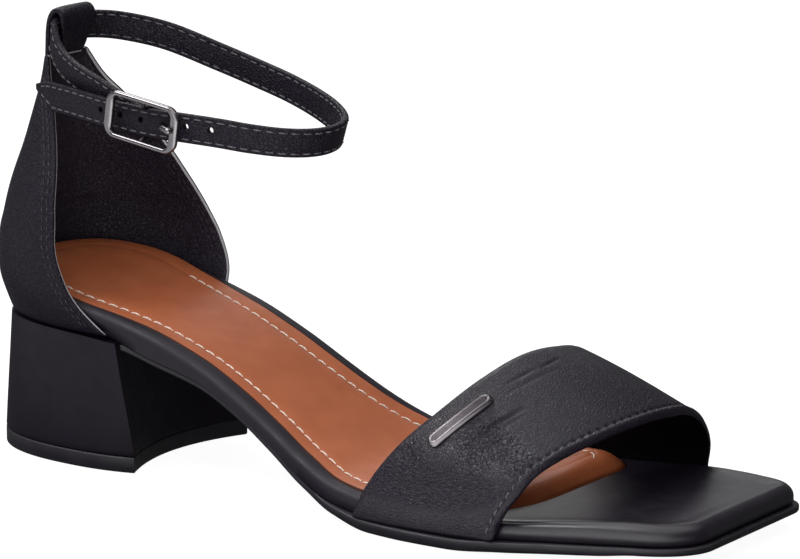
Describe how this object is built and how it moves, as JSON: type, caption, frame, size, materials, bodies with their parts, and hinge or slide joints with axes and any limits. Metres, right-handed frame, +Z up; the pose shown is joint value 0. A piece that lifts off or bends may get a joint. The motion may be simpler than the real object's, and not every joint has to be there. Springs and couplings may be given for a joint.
{
  "type": "block-heel ankle-strap sandal",
  "caption": "Open-toe heeled sandal for a right foot with a closed heel cup, a wide vamp band, a buckled ankle strap and a low flared block heel.",
  "frame": {"origin": "on the floor, below the middle of the shoe's length and width", "axes": "+X towards the toe, +Y towards the inner (medial) side of the right foot, +Z up"},
  "size_m": [0.2424, 0.0836, 0.127],
  "materials": {
    "upper_leather": "black grained leather, semi-matte",
    "footbed_wrap": "black smooth leather, semi-gloss",
    "insole_leather": "tan smooth leather, satin",
    "heel_cover": "black covered block, matte",
    "sole_rubber": "black rubber, matte",
    "lift_rubber": "black rubber, matte",
    "gunmetal": "satin gunmetal"
  },
  "bodies": {
    "root": {"outsole": "sole_rubber", "footbed": "footbed_wrap", "insole": "insole_leather", "heel_block": "heel_cover", "heel_top_lift": "lift_rubber", "heel_cup": "upper_leather", "strap_loop": "upper_leather", "vamp_band": "upper_leather", "ankle_strap": "upper_leather", "vamp_bar": "gunmetal", "buckle_frame": "gunmetal", "buckle_prong": "gunmetal"}
  },
  "joints": []
}
